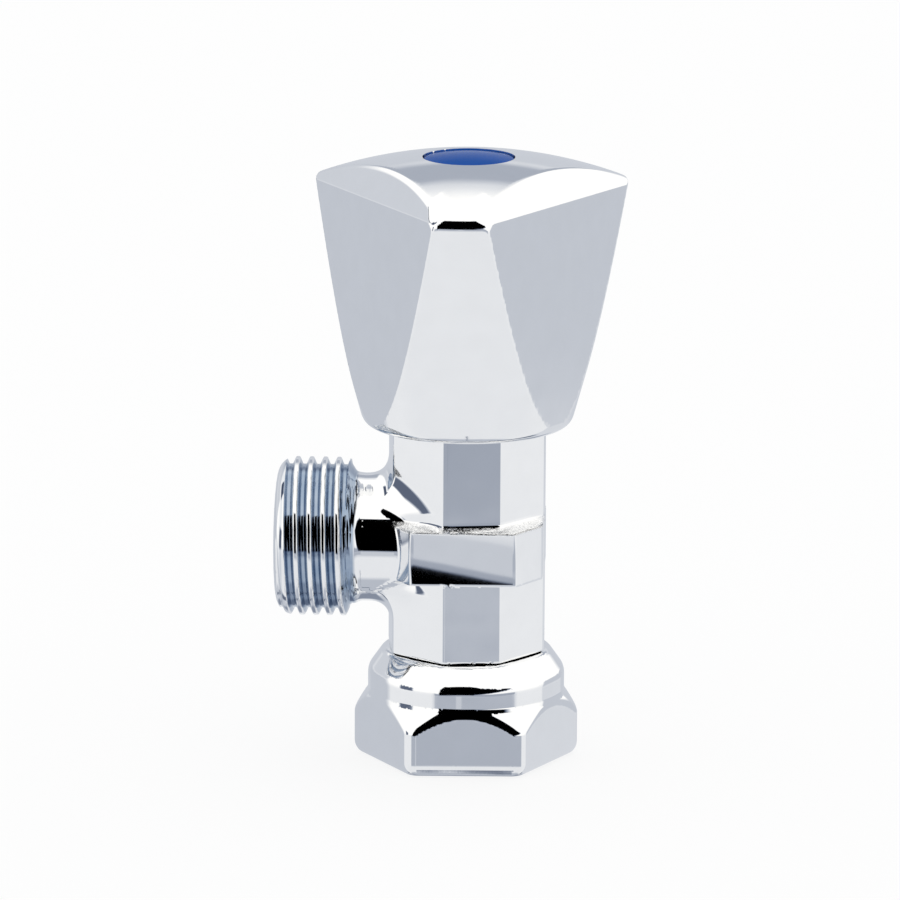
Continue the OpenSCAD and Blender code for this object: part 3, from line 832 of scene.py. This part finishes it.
def chrome_material(name, base, roughness, wave, grain, ledge=None, groove=None):
    """Chrome plate: faint hills left by polishing, fine hairlines, uneven gloss.

    A ledge that the wheel can't reach, between two heights, keeps the grain of the forging.
    A groove, by its axis height, radius and colour, gets a painted bluish shade below that radius.
    """
    made, t = new_material(name)
    hairlines = noise(t, HAIRLINES, 3.0, 0.6, (1.0, 1.0, 0.12))
    cloud = noise(t, CLOUD, 3.0)
    bump = bumped(t, 1.0, wave, noise(t, HILLS, 1.0))
    bump = bumped(t, 1.0, grain, hairlines, bump)
    tone = tinted(t, base, 0.95, cloud.between(0.0, 1.0))
    gloss = (cloud - 0.5) * (roughness * 0.6) + (hairlines - 0.5) * (roughness * 0.4) + roughness
    if groove:
        axis_z, radius, groove_shade_colour = groove
        nose, run_out = 24.3, 14.2
        x, side, up = coordinate(t, 0), coordinate(t, 1), coordinate(t, 2) - axis_z
        groove_shade_mask = ((radius - (side * side + up * up).call("SQRT")) * 9.0).between(0.0, 1.0)
        # the painted shade fades out at the nose and on the run-out
        groove_shade_mask = groove_shade_mask * (x + nose).between(0.0, 1.0) * ((x + run_out) * -2.5).between(0.0, 1.0)
        groove_shade_mask = groove_shade_mask * (cloud * 0.5 + 0.6).between(0.0, 1.0)
        # painted shade: the groove colour darkens the chrome in the groove
        tone = mixed(t, groove_shade_mask, tone, (*groove_shade_colour, 1.0))
    if ledge:
        low, high = ledge
        neck = 9.6
        x, height = coordinate(t, 0), coordinate(t, 2)
        raw = ((height - low) * 5.0).between(0.0, 1.0) * ((high - height) * 4.0).between(0.0, 1.0)
        grit = noise(t, GRIT, 2.0)
        raw = raw * (x + neck).between(0.0, 1.0) * ((grit - 0.40) * 7.0).between(0.45, 1.0)
        gloss = gloss + raw * 0.5
        bump = bumped(t, 1.0, 0.000025, grit * raw, bump)
    finish_material(t, t.node("ShaderNodeBsdfPrincipled", inputs={
        "Base Color": tone, "Metallic": 1.0, "Roughness": gloss, "Normal": bump}))
    return made


def brass_material(name, base):
    """Turned brass: fine rings from the tool, a little darker in patches."""
    made, t = new_material(name)
    rings = t.node("ShaderNodeTexWave", {"wave_type": "BANDS", "bands_direction": "Z"}, {
        "Vector": t.node("ShaderNodeTexCoord", out="Object"), "Scale": 2600.0,
        "Distortion": 0.6, "Detail": 1.0}, out="Fac")
    patches = noise(t, 260.0, 3.0)
    finish_material(t, t.node("ShaderNodeBsdfPrincipled", inputs={
        "Base Color": tinted(t, base, 0.72, patches), "Metallic": 1.0,
        "Roughness": patches * 0.16 + rings * 0.06 + 0.16,
        "Normal": bumped(t, 0.35, 0.00002, rings)}))
    return made


def plain_material(name, base, darker, roughness, spread, grain, scale, metallic=0.0, shine=0.5):
    """Moulded or wiped surface: patchy colour, uneven gloss and a fine grain."""
    made, t = new_material(name)
    patches = noise(t, scale * 0.2, 3.0)
    pores = noise(t, scale, 4.0, 0.6)
    finish_material(t, t.node("ShaderNodeBsdfPrincipled", inputs={
        "Base Color": tinted(t, base, darker, patches), "Metallic": metallic,
        "Roughness": (pores - 0.5) * spread + roughness, "Specular IOR Level": shine,
        "Normal": bumped(t, 0.5, grain, pores)}))
    return made


def finish(slot):
    """The finish of a material slot, made once."""
    name = slot.replace("_", " ")
    if name in bpy.data.materials:
        return bpy.data.materials[name]
    scene = bpy.context.scene
    colours, column, thread = scene.valve_finish, scene.valve_column, scene.valve_thread
    ledge_z = column.outlet_z + 3.15
    # radius below which shade is painted into the outlet thread's groove
    groove_radius = thread.minor + 0.72 * (thread.major - thread.minor)
    maker, values = {
        "body_chrome": (chrome_material, dict(
            base=colours.chrome, roughness=0.045, wave=0.00004, grain=0.0000004,
            ledge=(ledge_z - 0.2, ledge_z + 0.85))),
        "thread_chrome": (chrome_material, dict(
            base=colours.chrome, roughness=0.06, wave=0.00004, grain=0.0000005,
            # painted bluish shade in the thread's groove
            groove=(column.outlet_z, groove_radius, colours.groove))),
        "nut_chrome": (chrome_material, dict(
            base=colours.chrome, roughness=0.05, wave=0.00004, grain=0.0000005)),
        "handle_chrome": (chrome_material, dict(
            base=colours.chrome, roughness=0.075, wave=0.00003, grain=0.0000009)),
        "turned_brass": (brass_material, dict(base=colours.brass)),
        "spring_steel": (plain_material, dict(
            base=colours.steel, darker=0.8, roughness=0.28, spread=0.12, grain=0.00001,
            scale=3000.0, metallic=1.0)),
        "gasket_rubber": (plain_material, dict(
            base=colours.rubber, darker=0.7, roughness=0.62, spread=0.2, grain=0.00003,
            scale=2400.0)),
        "glide_plastic": (plain_material, dict(
            base=colours.acetal, darker=0.9, roughness=0.42, spread=0.16, grain=0.00001,
            scale=1800.0)),
        "blue_plastic": (plain_material, dict(
            base=colours.blue, darker=0.8, roughness=0.2, spread=0.08, grain=0.000004,
            scale=900.0, shine=0.02)),
    }[slot]
    return maker(name, **values)


# Studio

# cards seen in the chrome: alike on both sides or not, azimuth from and to, elevation from
# and to, softness of the edges, all in degrees, and brightness
CARDS = (
    (False, -70, 80, -75, -24, 16.0, 0.88),
    (False, -172, -106, -60, 6, 8.0, 0.655),
    (False, -172, -106, 6, 24, 5.0, 0.72),
    (False, 110, 172, -13.9, 2, 3.0, 0.66),
    (False, 110, 172, -60, -14.2, 1.6, 0.77),
    (True, 150, 210, -20, 19, 8.0, 0.69),
    (True, 160, 210, 25, 41, 7.0, 0.83),
    (True, 160, 210, 19, 34.5, 4.0, 0.52),
    (False, -123, -98, 29, 42, 3.0, 0.15),
    (False, -80, -62, -9.4, 11, 3.0, 0.20),
    (False, -34, 62, -21, -8, 8.0, 0.605),
    (False, -34, 62, -19, -15.1, 0.8, 0.54),
    (False, -4.8, -0.6, -21, -13.8, 0.8, 0.68),
    (False, -34, 62, -13.9, -8, 0.6, 0.475),
    (True, 150, 210, -85, -40, 8.0, 0.36),
    (False, -400, 400, -400, -68, 8.0, 0.60),  # straight below
    (False, 1.0, 3.0, -100, -50, 1.5, 0.20),
    (False, -126, -110, -100, -50, 5.0, 0.20),
    (False, 114, 130, -100, -50, 5.0, 0.20),
    (False, -28, 8, -12.2, 45, 0.6, 0.0),
)
# how much faster than the blue the red and the green fall in the dark
RED_FALL, GREEN_FALL = 1.345, 1.225


class VALVE_OT_studio(bpy.types.Operator):
    """Set up the floor, the studio light and the camera"""

    bl_idname = "valve.studio"
    bl_label = "Studio"

    def execute(self, context):
        settings = context.scene.valve_studio
        context.scene.view_settings.view_transform = "Standard"
        self.camera(context, settings)
        self.world(context)
        self.floor(context)
        return {"FINISHED"}

    def camera(self, context, settings):
        """Camera at the photograph's viewing angle."""
        data = bpy.data.cameras.new("camera")
        data.sensor_width, data.lens = 36.0, settings.lens
        data.clip_start, data.clip_end = 0.05, 20.0
        made = placed("camera", data)
        place = Matrix.Translation(Vector(settings.eye))
        tilt = Matrix.Rotation(math.radians(90) - settings.tilt, 4, "X")
        roll = Matrix.Rotation(settings.roll, 4, "Z")
        made.matrix_world = Matrix.Rotation(settings.azimuth, 4, "Z") @ place @ tilt @ roll
        context.scene.camera = made

    def world(self, context):
        """White studio with dark cards in it, seen in the chrome only."""
        world = bpy.data.worlds.new("studio")
        context.scene.world = world
        world.use_nodes = True
        world.node_tree.nodes.clear()
        t = Tree(world.node_tree)
        way = t.node("ShaderNodeTexCoord", out="Generated")
        split = t.node("ShaderNodeSeparateXYZ", inputs={0: way})
        east, north, up = split, t.another(split, 1), t.another(split, 2)
        azimuth = east.call("ARCTAN2", north * -1.0) * (180 / math.pi)
        behind = azimuth.call("ABSOLUTE")
        elevation = up.call("ARCSINE") * (180 / math.pi)

        def rise(value, edge, soft):
            """From 0 to 1 where a value passes an edge."""
            return ((value - edge) / soft + 0.5).between(0.0, 1.0)

        # the light of the tent, then its grey and black cards
        light = rise(elevation, -6.0, 16.0) * 0.2 + 0.9
        for both, left, right, low, high, soft, shade in CARDS:
            side = behind if both else azimuth
            card = rise(side, left, soft) * rise(right - side, 0.0, soft)
            card = card * rise(elevation, low, soft) * rise(high - elevation, 0.0, soft)
            light = light * (1.0 - card) + card * shade
        # the black card narrows to the right
        off = azimuth - 4.0
        low, high = off * 0.5 - 12.5, 49.0 - off * 0.6
        wing = rise(azimuth, 6.0, 1.0) * rise(64.0 - azimuth, 0.0, 6.0)
        wing = wing * rise(elevation - low, 0.0, 5.0) * rise(high - elevation, 0.0, 3.0)
        light = light * (1.0 - wing)
        sky = t.node("ShaderNodeCombineColor", inputs={
            0: light ** RED_FALL, 1: light ** GREEN_FALL, 2: light})
        path = t.node("ShaderNodeLightPath", out="Is Camera Ray")
        room = t.node("ShaderNodeBackground", inputs={"Color": sky, "Strength": 1.0})
        white = t.node("ShaderNodeBackground", inputs={"Color": (1, 1, 1, 1), "Strength": 1.0})
        seen = t.node("ShaderNodeMixShader", inputs={
            0: t.another(path, "Is Diffuse Ray"), 1: room, 2: white})
        seen = t.node("ShaderNodeMixShader", inputs={0: path, 1: seen, 2: white})
        out = t.tree.nodes.new("ShaderNodeOutputWorld")
        t.tree.links.new(seen.socket, out.inputs["Surface"])

    def floor(self, context):
        """Pale floor that keeps the valve's shadow."""
        bm = bmesh.new()
        bmesh.ops.create_grid(bm, x_segments=12, y_segments=12, size=1.2)
        mesh = bpy.data.meshes.new("floor")
        bm.to_mesh(mesh)
        bm.free()
        made = placed("floor", mesh)
        made.location = (0, 0, -0.00002)
        made.visible_glossy = False
        material, t = new_material("floor")
        colours = context.scene.valve_finish
        dull = t.node("ShaderNodeBsdfDiffuse", inputs={"Color": (*colours.floor, 1.0)})
        lit = t.node("ShaderNodeEmission", inputs={"Color": (1, 1, 1, 1), "Strength": 1.0})
        seen = t.node("ShaderNodeLightPath", out="Is Camera Ray")
        finish_material(t, t.node("ShaderNodeMixShader", inputs={0: seen * 0.8, 1: dull, 2: lit}))
        mesh.materials.append(material)


# Pieces


class VALVE_OT_body(bpy.types.Operator):
    """Build the forged body with its eight-sided column and bare pad"""

    bl_idname = "valve.body"
    bl_label = "Body"

    def execute(self, context):
        sizes = context.scene.valve_column
        margin = 2.6
        reach = sizes.flats / 2 + margin
        mesh = field_mesh("valve_forging", column_field(sizes),
                          (-sizes.neck_end - 1, -reach, NUT_TOP - 1),
                          (reach, reach, sizes.top + 1), sizes.mesh_step)
        made = piece("valve_forging", mesh, "valve", "body_chrome")
        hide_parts("valve_body")
        return {"FINISHED"}


class VALVE_OT_outlet_thread(bpy.types.Operator):
    """Cut the helical thread of the side outlet"""

    bl_idname = "valve.outlet_thread"
    bl_label = "Outlet thread"

    def execute(self, context):
        column, thread = context.scene.valve_column, context.scene.valve_thread
        start, end, bore = column.neck_end - 0.02, OUTLET_END, column.bore_radius
        values = {
            "Crest radius": thread.major, "Root radius": thread.minor,
            "Flank width": thread.flank, "Start": start, "End": end,
            "Phase": 22.4 - thread.pitch / 2, "Start radius": column.neck_radius,
            "Run-out start": start, "Run-out length": 2.1, "End radius": 8.1,
            "End rounding": 2.4}
        wall = [[(bore + 0.9, start), (bore, start)],
                [(bore + 0.5, end), (bore + 0.25, end - 0.05), (bore, end - 0.35)]]
        # the sleeve points along -X
        place = (Matrix.Translation((0, 0, column.outlet_z * MM))
                 @ Matrix.Rotation(math.radians(-90), 4, "Y"))
        material = finish("thread_chrome")
        mesh = threaded_sleeve("outlet_thread", thread, values, wall, place, material)
        piece("outlet_thread", mesh, "valve", "body_chrome", material)
        return {"FINISHED"}


class VALVE_OT_nut(bpy.types.Operator):
    """Build the union nut and its inside thread"""

    bl_idname = "valve.nut"
    bl_label = "Union nut"

    def execute(self, context):
        sizes, thread = context.scene.valve_nut, context.scene.valve_thread
        reach = sizes.flats / 2 / math.cos(math.radians(30)) + 0.8
        mesh = field_mesh("nut_shell", nut_field(sizes), (-reach, -reach, -1),
                          (reach, reach, sizes.top + 1), sizes.mesh_step)
        made = piece("nut_shell", mesh, "nut_unit", "nut_chrome")
        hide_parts("union_nut")
        root, start, end, outer = thread.major + 0.004, 0.02, 7.74, 10.85
        values = {
            "Crest radius": root, "Root radius": 9.32, "Flank width": 0.605, "Start": start,
            "End": end, "Phase": 0.9, "Start radius": root, "Run-out start": -1.5,
            "Run-out length": 2.6, "End radius": 9.34, "End rounding": 0.4}
        inside = threaded_sleeve("nut_thread", thread, values, [[(outer, start)], [(outer, end)]],
                                 Matrix.Identity(4), finish("nut_chrome"))
        piece("nut_thread", inside, "nut_unit", "nut_chrome")
        return {"FINISHED"}


class VALVE_OT_handle(bpy.types.Operator):
    """Build the hollow three-cornered handle"""

    bl_idname = "valve.handle"
    bl_label = "Handle"

    def execute(self, context):
        sizes = context.scene.valve_handle
        tall, margin = 36, 1
        reach = sizes.rim_radius + tall * sizes.flare + margin
        mesh = field_mesh("handle_casting", handle_field(sizes), (-reach, -reach, sizes.rim - 1),
                          (reach, reach, sizes.dome_top + 1), sizes.mesh_step)
        made = piece("handle_casting", mesh, "handle_unit", "handle_chrome")
        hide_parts("handle")
        return {"FINISHED"}


class VALVE_OT_cap(bpy.types.Operator):
    """Turn the blue index cap"""

    bl_idname = "valve.cap"
    bl_label = "Index cap"

    def execute(self, context):
        top, radius, dome, rim, thick = CAP_TOP, CAP_RADIUS, 30.0, 0.35, 2.4
        edge = top - dome + math.sqrt(dome * dome - (radius - rim) ** 2)
        floor = top - thick
        # the foot grips the well of the handle with a small bead
        grip, bead, inside, foot = 4.5, 4.76, 3.7, floor - 4.2
        outline = [(0, floor), (inside, floor), (inside, foot), (grip, foot),
                   (bead, floor - 3.4), (grip, floor - 2.6), (grip, floor),
                   (radius - 0.05, floor), (radius, floor + 0.05)]
        outline += arc((radius - rim, edge - rim), rim, 0, 84, 7)
        outline += [(r, top - dome + math.sqrt(dome * dome - r * r))
                    for r in np.linspace(radius - 0.4, 0.6, 12)]
        outline += [(0, top)]
        mesh = lathe_mesh("index_disc", outline, 128)
        made = piece("index_disc", mesh, "handle_unit", "blue_plastic")
        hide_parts("index_cap")
        return {"FINISHED"}


class VALVE_OT_inner_finishes(bpy.types.Operator):
    """Give every remaining CAD node its finish"""

    bl_idname = "valve.inner_finishes"
    bl_label = "Inner finishes"

    def execute(self, context):
        for part in frame["record"]["subparts"]:
            node = frame["nodes"][part["node"]]
            node.data.materials.clear()
            node.data.materials.append(finish(part["material_slot"]))
        return {"FINISHED"}


OPERATORS = (VALVE_OT_studio, VALVE_OT_body, VALVE_OT_outlet_thread, VALVE_OT_nut,
             VALVE_OT_handle, VALVE_OT_cap, VALVE_OT_inner_finishes)


class VALVE_PT_panel(bpy.types.Panel):
    """Sizes, colours and steps of the valve"""

    bl_idname = "VALVE_PT_panel"
    bl_label = "Angle valve"
    bl_space_type = "VIEW_3D"
    bl_region_type = "UI"
    bl_category = "Valve"

    def draw(self, context):
        for name in SETTINGS:
            box = self.layout.box()
            group = getattr(context.scene, name)
            for setting in group.bl_rna.properties:
                if setting.identifier not in ("rna_type", "name"):
                    box.prop(group, setting.identifier)
        for operator in OPERATORS:
            self.layout.operator(operator.bl_idname)


def register():
    """Registers the settings, the operators and the panel."""
    for made in (*SETTINGS.values(), *OPERATORS, VALVE_PT_panel):
        bpy.utils.register_class(made)
    for name, group in SETTINGS.items():
        setattr(bpy.types.Scene, name, PointerProperty(type=group))


def unregister():
    """Takes them out again."""
    for name in SETTINGS:
        delattr(bpy.types.Scene, name)
    for made in reversed((*SETTINGS.values(), *OPERATORS, VALVE_PT_panel)):
        bpy.utils.unregister_class(made)


def main():
    """Builds the valve and its studio."""
    register()
    bpy.ops.valve.studio()
    bpy.ops.valve.body()
    bpy.ops.valve.outlet_thread()
    bpy.ops.valve.nut()
    bpy.ops.valve.handle()
    bpy.ops.valve.cap()
    bpy.ops.valve.inner_finishes()


if __name__ == "__main__":
    main()
